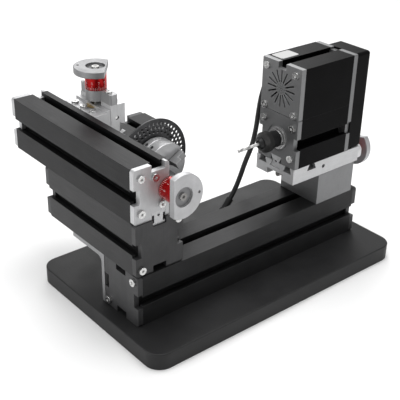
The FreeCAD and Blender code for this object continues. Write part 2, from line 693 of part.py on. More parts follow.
def dividing_housing():
    """Short profile with end plates and bearings, on the outer face of the vertical slide."""
    start = "divider_front + plate_thick"
    end = f"{start} + divider_long"
    top = "divider_z + profile/2"
    rail = place(profile_blank("divider_long", "profile", ("left", "right", "back", "front")),
                 (Z_OUTER, start, top), TO_Y)
    bore = rod("housing_bore", "divider_long", (DIVIDER_X, start, "divider_z"), TO_Y)
    node("dividing_housing", cut(rail, bore))
    plates = []
    seat = [("bearing_radius", "profile/2", "profile/2")]
    pin = ("profile/2 + index_ring*cos(pin_angle)", "profile/2 + index_ring*sin(pin_angle)")
    for level in ("divider_front", end):
        plate, tools = end_plate("profile", square_grid(), seat)
        if level == "divider_front":
            ear = block("2*pin_knob", "index_ring - profile/2", "plate_thick",
                        (f"{pin[0]} - pin_knob", "profile - 1", "0"))
            plate = fuse(plate, ear)
            tools.append(rod("pin_radius + feed_gap", "plate_thick", (*pin, "0")))
        plates.append(place(cut(plate, *tools), (Z_OUTER, level, top), TO_Y))
    node("dividing_end_plates", group(plates))
    rings = [bearing("bearing_radius", "divider_spindle", "bearing_wide",
                     (DIVIDER_X, level, "divider_z"), TO_Y) for level in ("divider_front", end)]
    node("dividing_bearings", group(rings))


def index_pin():
    """Spring pin in the ear of the front plate, drawn back from the index plate's outer circle."""
    tip = rod("pin_tip", "pin_reach", ("0", "0", "0"))
    knob_start = "plate_thick + pin_back + 1"
    shank = rod("pin_radius", f"{knob_start} + pin_joint - pin_reach + pin_joint",
                ("0", "0", "pin_reach - pin_joint"))
    knob = rod("pin_knob", "pin_knob", ("0", "0", knob_start))
    knob = rounded(knob, "0.8", lambda edge: edge.Curve.TypeId == "Part::GeomCircle")
    at = (f"{DIVIDER_X} + index_ring*cos(pin_angle)", "divider_front - 1",
          "divider_z - index_ring*sin(pin_angle)")
    node("index_pin", place(fuse(tip, shank, knob), at, TO_Y))


def index_plate():
    """Black plate with three circles of through holes for the pin."""
    body = sketch_body("IndexPlate")
    outline = sketch_on(body, "XY_Plane")
    circle_in(outline, "index_radius")
    circle_in(outline, "divider_spindle - turn_gap")
    pad(body, outline, "index_thick")
    for ring in range(3):
        radius = f"(index_ring - {ring}*index_step)"
        sketch = sketch_on(body, "XY_Plane")
        circle_in(sketch, "index_hole", f"{radius}*cos(pin_angle)", f"-{radius}*sin(pin_angle)")
        hole = pocket_through(body, sketch)
        polar(body, hole, sketch, f"index_count - {ring}*count_step")
    node("index_plate", place(body, (DIVIDER_X, "divider_front - index_gap", "divider_z"), FROM_Y))


def work_spindle():
    """Hollow spindle of the dividing head, with its flange and rear collar."""
    shaft = "divider_spindle - turn_gap"
    face = f"{CHUCK_REAR} - scroll_wide - chuck_body"
    end = "divider_front + 2*plate_thick + divider_long"
    solids = [
        rod(shaft, f"{end} + 3 - ({CHUCK_REAR} - scroll_wide)",
            (DIVIDER_X, f"{CHUCK_REAR} - scroll_wide", "divider_z"), TO_Y),
        rod("index_hub", f"divider_front - index_gap - index_thick - ({CHUCK_REAR})",
            (DIVIDER_X, CHUCK_REAR, "divider_z"), TO_Y),
        rod("divider_spindle + 1.5", "index_gap - way_gap",
            (DIVIDER_X, "divider_front - index_gap", "divider_z"), TO_Y),
        rod("divider_spindle + 2.5", "3 - way_gap", (DIVIDER_X, f"{end} + way_gap", "divider_z"), TO_Y),
    ]
    bore = rod("3", f"{end} + 4 - ({face})", (DIVIDER_X, face, "divider_z"), TO_Y)
    node("work_spindle", cut(fuse(*solids), bore))


def radial_holes(radius, count, rim, level):
    """Cutters for blind key holes round a disc, local Z along its axis."""
    holes = []
    for step in range(count):
        angle = 360*step/count
        at = (f"{rim}*cos({angle})", f"{rim}*sin({angle})", level)
        holes.append(rod(radius, "key_deep", at, [(Y_AXIS, -90), (Z_AXIS, angle)]))
    return holes


def work_chuck():
    """Three-jaw chuck: body with jaw slots and rear hub, scroll ring on the hub, three jaws."""
    front = f"{CHUCK_REAR} - scroll_wide - chuck_body"
    axis = (DIVIDER_X, front, "divider_z")
    disc = rod("chuck_radius", "chuck_body", ("0", "0", "0"))
    disc = rounded(disc, "0.6", lambda edge: edge.Curve.TypeId == "Part::GeomCircle")
    hub = rod("chuck_hub", "scroll_wide", ("0", "0", "chuck_body"))
    tools = [
        rod("chuck_bore", "chuck_body", ("0", "0", "0")),
        rod("divider_spindle - turn_gap", "scroll_wide", ("0", "0", "chuck_body")),
    ]
    for angle in JAW_ANGLES:
        slot_wide = "jaw_wide + 2*way_gap"
        bar = block("chuck_radius + 1", slot_wide, "jaw_key + way_gap", ("0", f"-({slot_wide})/2", "0"))
        tools.append(place(fuse(bar, rod("chuck_bore", "jaw_key", ("0", "0", "0"))),
                           ("0", "0", "0"), [(Z_AXIS, angle)]))
    tools += radial_holes("key_hole", 3, "chuck_radius", "chuck_body*0.66")
    node("work_chuck_body", place(cut(fuse(disc, hub), *tools), axis, TO_Y))

    ring = rod("chuck_radius", "scroll_wide - 2*way_gap", ("0", "0", "chuck_body + way_gap"))
    ring = rounded(ring, "0.6", lambda edge: edge.Curve.TypeId == "Part::GeomCircle")
    tools = [rod("chuck_hub + feed_gap", "scroll_wide", ("0", "0", "chuck_body"))]
    tools += radial_holes("key_hole", 6, "chuck_radius", "chuck_body + scroll_wide/2")
    node("work_chuck_scroll", place(cut(ring, *tools), axis, TO_Y))

    for number, angle in enumerate(JAW_ANGLES, start=1):
        steps = (("jaw_inner", "jaw_mid", "-jaw_reach", "jaw_step"),
                 ("jaw_inner", "jaw_outer", "jaw_step - jaw_reach", "jaw_reach - jaw_step + jaw_key"))
        solids = [block(f"{outer} - {inner}", "jaw_wide", tall, (inner, "-jaw_wide/2", level))
                  for inner, outer, level, tall in steps]
        node(f"work_chuck_jaw_{number}", place(fuse(*solids), axis, [(Z_AXIS, angle)] + TO_Y))


# ---------------------------------------------------------------- head

def head_slide():
    """Slide plate of the head's feed, with the bracket at its outer end."""
    node("head_slide_plate", slide_plate(("head_left", HEAD_Y, "head_slide_z"), TONGUE_ALONG_X,
                                         ("slide_thick/2 + 0.75", "41")))
    plate = block("x_bracket", "profile", "slide_thick", (SLIDE_END, BED_FRONT, "head_slide_z"))
    plate = rounded(plate, "bracket_corner", lambda edge: runs_along(edge, X_AXIS))
    boss = block("x_bracket", "x_bracket_boss", "x_bracket_drop + 2",
                 (SLIDE_END, f"{HEAD_Y} - x_bracket_boss/2", "head_slide_z - x_bracket_drop"))
    tools = [rod("feed_radius + feed_gap", "x_bracket", (SLIDE_END, HEAD_Y, X_SCREW_Z), TO_X)]
    for side in (-1, 1):
        tools.append(rod("screw_hole", "x_bracket",
                         (SLIDE_END, f"{HEAD_Y} + {side}*side_place", "head_slide_z + slide_thick/2"), TO_X))
    node("x_bearing_bracket", cut(fuse(plate, boss), *tools))


def head_feed():
    """Feed screw, dial and handwheel at the outer end of the head."""
    plate = f"{SLIDE_END} + x_bracket + way_gap"
    wheel = f"{plate} + dial_long"
    start = "head_left + 4"
    node("x_leadscrew",
         feed_screw(f"{wheel} + wheel_thick - ({start})", (start, HEAD_Y, X_SCREW_Z), TO_X))
    node("x_dial", dial((plate, HEAD_Y, X_SCREW_Z), TO_X))
    node("x_handwheel", handwheel((wheel, HEAD_Y, X_SCREW_Z), TO_X, 165))


def head_housings():
    """Spindle housing below and motor housing above, both bored along X."""
    at = (HEAD_BODY, BED_FRONT, HEAD_TOP_PLATE)
    lower = block("module_long", "profile", "module_tall", at)
    tools = [
        slot("module_long", (HEAD_BODY, BED_FRONT, SPINDLE_Z), TO_X + [(X_AXIS, 180)]),
        slot("module_long", (HEAD_BODY, "bed_back", SPINDLE_Z), TO_X),
        dovetail("centre_mouth", "centre_floor", "centre_deep", "module_long",
                 (HEAD_BODY, HEAD_Y, HEAD_TOP_PLATE), TONGUE_ALONG_X),
        rod("housing_bore", "module_long", (HEAD_BODY, HEAD_Y, SPINDLE_Z), TO_X),
    ]
    node("spindle_housing", cut(lower, *tools))
    top = f"{HEAD_TOP_PLATE} + 2*module_tall"
    upper = block("module_long", "profile", "module_tall",
                  (HEAD_BODY, BED_FRONT, f"{HEAD_TOP_PLATE} + module_tall"))
    tools = [
        rod("motor_room", "module_long", (HEAD_BODY, HEAD_Y, MOTOR_Z), TO_X),
        dovetail("notch_wide", "slot_open", "centre_deep", "module_long",
                 (HEAD_BODY, HEAD_Y, f"{top} - centre_deep"), TONGUE_ALONG_X),
    ]
    node("motor_housing", cut(upper, *tools))


FRONT_SCREWS = [("-front_screw", "153.5"), ("front_screw", "153.5"), ("-front_screw", "122.9"),
                ("front_screw", "122.9"), ("-front_screw", "204.8"), ("front_screw", "204.8"),
                ("-front_screw", "166.4"), ("front_screw", "166.4")]
REAR_SCREWS = [("screw_step", "204.8"), ("screw_step", "166.4"), ("screw_step", "157"), ("screw_step", "119")]


def spindle_front_plate():
    """Lower front plate, with the spindle's bearing seat and a ring groove round it."""
    plate = block("plate_thick", "profile", "module_tall", (HEAD_FRONT, BED_FRONT, HEAD_TOP_PLATE))
    plate = rounded(plate, "1", lambda edge: runs_along(edge, X_AXIS))
    middle = (HEAD_FRONT, HEAD_Y, SPINDLE_Z)
    ring = cut(rod("ring_groove", "ring_deep", middle, TO_X),
               rod("ring_groove - groove_wide", "ring_deep", middle, TO_X))
    tools = [rod("spindle_seat", "plate_thick", middle, TO_X), ring]
    for side in (BED_FRONT, "bed_back - side_notch_deep"):
        tools.append(block("plate_thick", "side_notch_deep", "side_notch",
                           (HEAD_FRONT, side, f"{SPINDLE_Z} - side_notch/2")))
    tools.append(block("plate_thick", "notch_wide", "notch_deep",
                       (HEAD_FRONT, f"{HEAD_Y} - notch_wide/2", HEAD_TOP_PLATE)))
    for across, level in FRONT_SCREWS[:4]:
        tools.append(rod("screw_hole", "plate_thick", (HEAD_FRONT, f"{HEAD_Y} + {across}", level), TO_X))
    node("spindle_front_plate", cut(plate, *tools))


def motor_front_plate():
    """Upper front plate with radial vents; local Z points out of the head, local X up."""
    body = sketch_body("MotorFrontPlate")
    outline = sketch_on(body, "XY_Plane")
    rectangle_in(outline, "plate_seam - module_tall/2", "-profile/2", "module_tall/2", "profile/2")
    pad(body, outline, "plate_thick")
    notch = sketch_on(body, "XY_Plane")
    rectangle_in(notch, "module_tall/2 - notch_deep", "-top_notch/2", "module_tall/2 + 1", "top_notch/2")
    pocket_through(body, notch)
    holes = sketch_on(body, "XY_Plane")
    for across, level in FRONT_SCREWS[4:]:
        circle_in(holes, "screw_hole", f"{level} - ({MOTOR_Z})", across)
    pocket_through(body, holes)
    vent = sketch_on(body, "XY_Plane")
    rectangle_in(vent, "vent_inner", "-vent_wide/2", "vent_outer", "vent_wide/2")
    polar(body, pocket_through(body, vent), vent, "vent_count")
    node("motor_front_plate", place(body, (HEAD_BODY, HEAD_Y, MOTOR_Z), FROM_X))


def head_back():
    """Rear plate of both housings and the hollow belt cover behind it."""
    plate = block("plate_thick", "profile", "2*module_tall", (HEAD_REAR, BED_FRONT, HEAD_TOP_PLATE))
    plate = rounded(plate, "1", lambda edge: runs_along(edge, X_AXIS))
    tools = [
        rod("spindle_seat", "plate_thick", (HEAD_REAR, HEAD_Y, SPINDLE_Z), TO_X),
        rod("shaft_hole", "plate_thick", (HEAD_REAR, HEAD_Y, MOTOR_Z), TO_X),
        block("plate_thick", "cover_wall", "side_notch",
              (HEAD_REAR, BED_FRONT, f"{SPINDLE_Z} - side_notch/2")),
        block("plate_thick", "top_notch", "cover_wall",
              (HEAD_REAR, f"{HEAD_Y} - top_notch/2", f"{HEAD_TOP_PLATE} + 2*module_tall - cover_wall")),
    ]
    for across, level in REAR_SCREWS:
        tools.append(rod("screw_hole", "plate_thick", (HEAD_REAR, f"{HEAD_Y} + {across}", level), TO_X))
    node("head_rear_plate", cut(plate, *tools))
    cover = block("cover_long", "cover_wide", "2*module_tall", (COVER_X, "cover_front", HEAD_TOP_PLATE))
    outer = size(f"{COVER_X} + cover_long")
    cover = rounded(cover, "cover_corner", lambda edge: runs_along(edge, X_AXIS)
                    or all(abs(vertex.X - outer) < 1e-6 for vertex in edge.Vertexes))
    room = block("cover_long - cover_wall", "cover_wide - 2*cover_wall", "2*module_tall - 2*cover_wall",
                 (COVER_X, "cover_front + cover_wall", f"{HEAD_TOP_PLATE} + cover_wall"))
    node("belt_cover", cut(cover, room))


def head_small_parts():
    """Plate screws, connector bar and spindle bearings of the head."""
    screws = [pan_screw((HEAD_FRONT, f"{HEAD_Y} + {across}", level), FROM_X, "plate_thick")
              for across, level in FRONT_SCREWS]
    screws += [pan_screw((COVER_X, f"{HEAD_Y} + {across}", level), TO_X, "plate_thick")
               for across, level in REAR_SCREWS]
    node("head_plate_screws", group(screws))
    at = (HEAD_FRONT, HEAD_Y, HEAD_TOP_PLATE)
    length = "module_long + plate_thick"
    upper = dovetail("centre_mouth", "centre_floor", "centre_deep", length, at, TONGUE_ALONG_X)
    lower = dovetail("centre_mouth", "centre_floor", "centre_deep", length, at,
                     TONGUE_ALONG_X + [(X_AXIS, 180)])
    hole = rod("socket_size", "key_deep", at, TO_X)
    node("head_connector_bar", cut(fuse(upper, lower), hole))
    rings = [bearing("spindle_seat", "spindle_radius", "plate_thick", (level, HEAD_Y, SPINDLE_Z), TO_X)
             for level in (HEAD_FRONT, HEAD_REAR)]
    node("spindle_bearings", group(rings))


def motor_and_belt():
    """Motor in its housing, its pulley and shaft, the spindle's pulley and the belt."""
    start = f"{HEAD_REAR} - motor_long - 4"
    can = rod("motor_radius", "motor_long", (start, HEAD_Y, MOTOR_Z), TO_X)
    nose = rod("shaft_hole + 2", "3", (f"{start} + motor_long", HEAD_Y, MOTOR_Z), TO_X)
    hole = rod("shaft_radius + feed_gap", "motor_long",
               (f"{start} + motor_long/2", HEAD_Y, MOTOR_Z), TO_X)
    foot_drop = "sqrt(motor_room^2 - foot_wide^2/4)"
    foot = block("motor_long", "foot_wide", f"{foot_drop} - motor_radius + 0.6",
                 (start, f"{HEAD_Y} - foot_wide/2", f"{MOTOR_Z} - {foot_drop}"))
    node("motor", cut(fuse(can, nose, foot), hole))
    shaft_start = f"{start} + motor_long/2 + 1"
    shaft = rod("shaft_radius", f"pulley_place + {PULLEY_WIDE} + 1 - ({shaft_start})",
                (shaft_start, HEAD_Y, MOTOR_Z), TO_X)
    node("motor_pulley", fuse(shaft, pulley("pulley_small", MOTOR_Z)))
    bore = rod("spindle_radius - turn_gap", PULLEY_WIDE, ("pulley_place", HEAD_Y, SPINDLE_Z), TO_X)
    node("spindle_pulley", cut(pulley("pulley_large", SPINDLE_Z), bore))
    inside = belt_loop("belt_gap")
    outside = belt_loop("belt_gap + belt_thick")
    node("drive_belt", cut(outside, inside))


def pulley(radius, level):
    """Flanged pulley with a flat belt seat."""
    seat = rod(radius, PULLEY_WIDE, ("pulley_place", HEAD_Y, level), TO_X)
    rims = [rod(f"{radius} + pulley_rim", "pulley_rim", (at, HEAD_Y, level), TO_X)
            for at in ("pulley_place", f"pulley_place + {PULLEY_WIDE} - pulley_rim")]
    return fuse(seat, *rims)


def belt_loop(offset):
    """Solid bounded by a tight loop round both pulleys, grown by the offset."""
    start = "pulley_place + pulley_rim + belt_gap"
    lean = "(pulley_large - pulley_small)/module_tall"
    flat = f"sqrt(1 - ({lean})^2)"
    low = f"(pulley_large + {offset})"
    high = f"(pulley_small + {offset})"
    web = dovetail(f"2*{low}*{flat}", f"2*{high}*{flat}", f"module_tall + ({high} - {low})*{lean}",
                   "belt_wide", (start, HEAD_Y, f"{SPINDLE_Z} + {low}*{lean}"), TONGUE_ALONG_X)
    return fuse(rod(low, "belt_wide", (start, HEAD_Y, SPINDLE_Z), TO_X),
                rod(high, "belt_wide", (start, HEAD_Y, MOTOR_Z), TO_X), web)


def spindle():
    """Head spindle from the drill chuck to its pulley, with a front flange and a rear nut."""
    start = "chuck_back"
    shaft = rod("spindle_radius - turn_gap", f"pulley_place + {PULLEY_WIDE} + 3 - {start}",
                (start, HEAD_Y, SPINDLE_Z), TO_X)
    flange = rod("spindle_flange", f"{HEAD_FRONT} - way_gap - {start}", (start, HEAD_Y, SPINDLE_Z), TO_X)
    nut = rod("spindle_radius + 1.5", "2.5", (f"pulley_place + {PULLEY_WIDE}", HEAD_Y, SPINDLE_Z), TO_X)
    node("spindle", fuse(shaft, flange, nut))


def drill_chuck():
    """Keyless drill chuck: body with core and nose, turning sleeve, and the drill."""
    centre = (HEAD_Y, SPINDLE_Z)
    rear = rod("drill_body", "chuck_back - chuck_mid", ("chuck_mid", *centre), TO_X)
    rear = rounded(rear, "0.8", lambda edge: edge.Curve.TypeId == "Part::GeomCircle")
    core = rod("drill_core", "chuck_mid - chuck_face", ("chuck_face", *centre), TO_X)
    nose = taper("drill_core", "nose_radius", "chuck_face - chuck_nose", ("chuck_face", *centre), FROM_X)
    drill_end = "chuck_mid + 5"
    hole = rod("drill_radius", f"{drill_end} - chuck_nose", ("chuck_nose", *centre), TO_X)
    node("drill_chuck_body", cut(fuse(rear, core, nose), hole))

    length = "chuck_mid - way_gap - chuck_face - 0.3"
    start = "chuck_mid - way_gap"
    barrel = rod("drill_sleeve", f"{length} - sleeve_cone", (start, *centre), FROM_X)
    cone = taper("drill_sleeve", "sleeve_end", "sleeve_cone",
                 (f"{start} - ({length}) + sleeve_cone", *centre), FROM_X)
    bore = rod("drill_core + sleeve_gap", length, (start, *centre), FROM_X)
    node("drill_chuck_sleeve", cut(fuse(barrel, cone), bore))

    shank = rod("drill_radius", f"{drill_end} - drill_tip - drill_point",
                ("drill_tip + drill_point", *centre), TO_X)
    point = taper("drill_radius", "0.05", "drill_point", ("drill_tip + drill_point", *centre), FROM_X)
    node("drill_bit", fuse(shank, point))


# ---------------------------------------------------------------- motor lead

def lead_gland():
    """Gland on the back of the motor housing, its mouth leaning down."""
    stub = rod("gland_radius", "2*gland_long", (
        "gland_x", "bed_back - gland_long*cos(gland_fall)", "gland_z + gland_long*sin(gland_fall)"),
        [(X_AXIS, -90 - SIZES["gland_fall"])])
    housing = block("module_long", "profile", "2*module_tall", (HEAD_BODY, BED_FRONT, HEAD_TOP_PLATE))
    node("lead_gland", cut(stub, housing))


def rounded_wire(points, part_of_run=0.45):
    """Straight runs joined by tangent arcs, and the radius of each arc."""
    corners = [FreeCAD.Vector(*point) for point in points]
    edges = []
    radii = []
    start = corners[0]
    for before, corner, after in zip(corners, corners[1:], corners[2:]):
        back = (before - corner).normalize()
        ahead = (after - corner).normalize()
        reach = part_of_run*min((before - corner).Length, (after - corner).Length)
        half_turn = (math.pi - back.getAngle(ahead))/2
        entry = corner + back*reach
        leave = corner + ahead*reach
        radius = reach/math.tan(half_turn)
        radii.append(radius)
        centre = corner + (back + ahead).normalize()*(radius/math.cos(half_turn))
        middle = centre + (corner - centre).normalize()*radius
        edges.append(Part.LineSegment(start, entry).toShape())
        edges.append(Part.Arc(entry, middle, leave).toShape())
        start = leave
    edges.append(Part.LineSegment(start, corners[-1]).toShape())
    return Part.Wire(edges), radii


def motor_lead():
    """Round lead swept along its rounded route."""
    path, radii = rounded_wire(LEAD_ROUTE)
    print("lead bend radii:", ", ".join(f"{radius:.1f}" for radius in radii))
    print(f"lead length: {path.Length:.1f}")
    first = FreeCAD.Vector(*LEAD_ROUTE[0])
    along = FreeCAD.Vector(*LEAD_ROUTE[1]) - first
    section = Part.Wire(Part.Circle(first, along, size("lead_radius")).toShape())
    lead = doc.addObject("Part::Feature", "Lead")
    lead.Shape = path.makePipeShell([section], True, True)
    area = math.pi*size("lead_radius")**2
    if abs(lead.Shape.Volume - area*path.Length) > 0.01*lead.Shape.Volume:
        raise ValueError("the lead's volume does not match its section and length")
    node("motor_lead", lead)


def lead_plug():
    """Moulded barrel plug: tapered ribbed relief, grip and bare metal-tipped barrel."""
    top = FreeCAD.Vector(*LEAD_ROUTE[-1])
    axis = FreeCAD.Vector(*PLUG_TIP) - top
    profile = [("0", "lead_radius + 1.3"), ("relief_long", "plug_radius - 0.5"),
               ("relief_long", "plug_radius"), ("relief_long + plug_body", "plug_radius"),
               ("relief_long + plug_body", "barrel_radius"),
               ("relief_long + plug_body + barrel_long", "barrel_radius")]
    solids = []
    for (begin, radius), (end, end_radius) in zip(profile[0::2], profile[1::2]):
        if radius == end_radius:
            solids.append(rod(radius, f"{end} - ({begin})", ("0", "0", begin)))
        else:
            solids.append(taper(radius, end_radius, f"{end} - ({begin})", ("0", "0", begin)))
    grooves = []
    for rib in range(SIZES["rib_count"]):
        level = f"2 + {rib}*(relief_long - 3)/(rib_count - 1)"
        grooves.append(cut(rod("plug_radius", "0.8", ("0", "0", level)),
                           rod("lead_radius + 0.9", "0.8", ("0", "0", level))))
    socket = rod("drill_radius - 0.3", "key_deep", ("0", "0", "relief_long + plug_body + 2"))
    plug = cut(fuse(*solids), socket, *grooves)
    plug.Placement = FreeCAD.Placement(top, FreeCAD.Rotation(Z_UP, axis))
    node("lead_plug", plug)


# ---------------------------------------------------------------- assembly

for build in (base_plate, bed, cross_beam, angle_bracket, table, table_connector_bar, head_pedestal,
              frame_plate_screws, long_slide, carriage, vertical_slide, vertical_feed,
              dividing_housing, index_pin, index_plate, work_spindle, work_chuck,
              head_slide, head_feed, head_housings, spindle_front_plate, motor_front_plate, head_back,
              head_small_parts, motor_and_belt, spindle, drill_chuck,
              lead_gland, motor_lead, lead_plug):
    build()
doc.recompute()

for item in doc.Objects:
    if "Invalid" in item.State or "Error" in item.State:
        raise ValueError(f"{item.Label} did not compute")

os.makedirs("parts", exist_ok=True)
for item in parts:
    if item.Shape.isNull() or not item.Shape.isValid():
        raise ValueError(f"{item.Label} has no valid shape")
    item.Shape.exportStep(f"parts/{item.Label}.step")
print(f"{len(parts)} sub-parts written")
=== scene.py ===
"""Looks of the modular bench machine: materials, small details, lead, floor, light and camera.

Metres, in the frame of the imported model: +X along the bed, +Y to the back, +Z up.
"""

import math

import bmesh
import bpy
from mathutils import Matrix, Vector


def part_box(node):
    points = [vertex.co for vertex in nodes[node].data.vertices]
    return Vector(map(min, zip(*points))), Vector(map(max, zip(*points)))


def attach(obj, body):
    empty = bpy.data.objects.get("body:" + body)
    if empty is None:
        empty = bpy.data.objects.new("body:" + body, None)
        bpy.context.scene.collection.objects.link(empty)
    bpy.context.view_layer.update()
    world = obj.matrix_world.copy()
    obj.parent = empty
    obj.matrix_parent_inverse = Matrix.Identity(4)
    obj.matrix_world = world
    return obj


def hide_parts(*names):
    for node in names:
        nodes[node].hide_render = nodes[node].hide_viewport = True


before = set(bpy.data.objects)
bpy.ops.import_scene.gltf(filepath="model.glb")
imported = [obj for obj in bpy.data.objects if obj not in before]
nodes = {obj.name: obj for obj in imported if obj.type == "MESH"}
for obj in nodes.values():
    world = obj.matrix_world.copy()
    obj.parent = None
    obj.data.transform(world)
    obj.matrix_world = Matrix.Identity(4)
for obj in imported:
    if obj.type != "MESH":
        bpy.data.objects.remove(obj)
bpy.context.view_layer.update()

MM = 0.001
DIAL_RADIUS = 10.1*MM
# Radius of the handwheel dish that painted shade darkens.
DISH_SHADE_RADIUS = 9*MM
DRILL_RADIUS = 1.5*MM


# ---------------------------------------------------------------- material helpers

class Shader:
    """Short way to build one procedural material around a Principled BSDF."""

    def __init__(self, name):
        self.material = bpy.data.materials.new(name)
        self.material.use_nodes = True
        self.tree = self.material.node_tree
        self.bsdf = self.tree.nodes["Principled BSDF"]
        self.place = self.add("ShaderNodeTexCoord").outputs["Object"]

    def add(self, kind, **properties):
        node = self.tree.nodes.new(kind)
        for name, value in properties.items():
            setattr(node, name, value)
        return node

    def link(self, source, target):
        self.tree.links.new(source, target)

    def scaled(self, scale):
        """Object coordinates, stretched by a vector of scales."""
        mapping = self.add("ShaderNodeMapping")
        mapping.inputs["Scale"].default_value = scale
        self.link(self.place, mapping.inputs["Vector"])
        return mapping.outputs["Vector"]

    def noise(self, scale, stretch=(1, 1, 1), detail=4.0, roughness=0.6):
        """Noise with about the given number of grains to the metre."""
        texture = self.add("ShaderNodeTexNoise")
        texture.inputs["Scale"].default_value = scale
        texture.inputs["Detail"].default_value = detail
        texture.inputs["Roughness"].default_value = roughness
        self.link(self.scaled(stretch), texture.inputs["Vector"])
        return texture.outputs["Fac"]

    def spread(self, value, low, high, start=0.3, end=0.7):
        """Map a grey value onto a range."""
        ramp = self.add("ShaderNodeMapRange")
        for name, number in (("From Min", start), ("From Max", end), ("To Min", low), ("To Max", high)):
            ramp.inputs[name].default_value = number
        self.link(value, ramp.inputs["Value"])
        return ramp.outputs["Result"]

    def mix(self, factor, first, second):
        """Mix of two colours, each a triple or a socket."""
        mixer = self.add("ShaderNodeMix", data_type="RGBA")
        self.link(factor, mixer.inputs["Factor"])
        for socket, colour in ((mixer.inputs["A"], first), (mixer.inputs["B"], second)):
            if isinstance(colour, tuple):
                socket.default_value = (*colour, 1)
            else:
                self.link(colour, socket)
        return mixer.outputs["Result"]

    def maths(self, operation, first, second=0.0):
        """One arithmetic step on numbers or sockets."""
        step = self.add("ShaderNodeMath", operation=operation)
        for socket, value in zip(step.inputs, (first, second)):
            if isinstance(value, (int, float)):
                socket.default_value = value
            else:
                self.link(value, socket)
        return step.outputs["Value"]

    def soft_edges(self, radius):
        """Normal of slightly rounded edges, and a mask that is 1 along them."""
        rounded = self.add("ShaderNodeBevel", samples=6)
        rounded.inputs["Radius"].default_value = radius
        geometry = self.add("ShaderNodeNewGeometry")
        product = self.add("ShaderNodeVectorMath", operation="DOT_PRODUCT")
        self.link(rounded.outputs["Normal"], product.inputs[0])
        self.link(geometry.outputs["Normal"], product.inputs[1])
        return rounded.outputs["Normal"], self.spread(product.outputs["Value"], 1.0, 0.0, 0.80, 0.99)

    def bump(self, height, distance, normal=None):
        """Bump on top of another normal."""
        bump = self.add("ShaderNodeBump")
        bump.inputs["Strength"].default_value = 1.0
        bump.inputs["Distance"].default_value = distance
        self.link(height, bump.inputs["Height"])
        if normal is not None:
            self.link(normal, bump.inputs["Normal"])
        return bump.outputs["Normal"]

    def finish(self, colour, roughness, metallic, normal=None, gloss=0.5):
        """Fill the Principled BSDF and return the material; gloss is its specular level."""
        values = {"Base Color": colour, "Roughness": roughness, "Metallic": metallic, "Normal": normal}
        for name, value in values.items():
            if isinstance(value, (int, float)):
                self.bsdf.inputs[name].default_value = value
            elif isinstance(value, tuple):
                self.bsdf.inputs[name].default_value = (*value, 1)
            elif value is not None:
                self.link(value, self.bsdf.inputs[name])
        self.bsdf.inputs["Specular IOR Level"].default_value = gloss
        return self.material


def along(axis, long=1.0, short=60.0):
    """Stretch for streaks that run along one axis."""
    return tuple(long if letter == axis else short for letter in "xyz")


# ---------------------------------------------------------------- materials

def anodised(name, colour, axis, wear, rough=(0.4, 0.54), metallic=0.3, gloss=0.5):
    """Extruded and anodised aluminium: fine streaks along the axis, worn lighter at the edges."""
    shader = Shader(name)
    normal, edge = shader.soft_edges(0.35*MM)
    streak = shader.noise(30, along(axis, 1.0, 110.0), 5.0)
    cloud = shader.noise(45, detail=3.0)
    grain = shader.noise(5200, detail=2.0)
    light = tuple(min(1.0, c*2.4) for c in colour)
    tinted = shader.mix(shader.spread(cloud, 0.0, 0.55), colour, light)
    tinted = shader.mix(shader.spread(streak, 0.0, 0.4), tinted, tuple(c*0.55 for c in colour))
    scuffed = shader.maths("MULTIPLY", edge, shader.spread(shader.noise(420), 0.15, 1.0))
    tinted = shader.mix(shader.maths("MULTIPLY", scuffed, wear), tinted, (0.42, 0.42, 0.42))
    roughness = shader.maths("ADD", shader.spread(streak, *rough), shader.spread(grain, -0.03, 0.05))
    height = shader.maths("ADD", shader.maths("MULTIPLY", streak, 0.7), shader.maths("MULTIPLY", grain, 0.5))
    return shader.finish(tinted, roughness, metallic, shader.bump(height, 0.025*MM, normal), gloss)


def bright_aluminium(name, axis, colour=(0.60, 0.603, 0.61), rough=(0.40, 0.56), metallic=0.8):
    """Milled and clear-anodised aluminium with tool lines across the axis and small scratches."""
    shader = Shader(name)
    normal, edge = shader.soft_edges(0.3*MM)
    lines = shader.noise(60, along(axis, 1.0, 70.0), 6.0, 0.7)
    cloud = shader.noise(60, detail=4.0)
    scratch = shader.noise(900, (1.0, 0.08, 0.3), 3.0)
    tinted = shader.mix(shader.spread(cloud, 0.0, 0.5), colour, tuple(c*0.8 for c in colour))
    tinted = shader.mix(shader.spread(lines, 0.0, 0.4), tinted, tuple(c*0.66 for c in colour))
    bright = tuple(min(0.9, c*1.6 + 0.08) for c in colour)
    tinted = shader.mix(shader.maths("MULTIPLY", edge, 0.5), tinted, bright)
    roughness = shader.maths("ADD", shader.spread(lines, *rough), shader.spread(scratch, -0.04, 0.07))
    height = shader.maths("ADD", lines, shader.maths("MULTIPLY", scratch, 0.4))
    return shader.finish(tinted, roughness, metallic, shader.bump(height, 0.02*MM, normal))


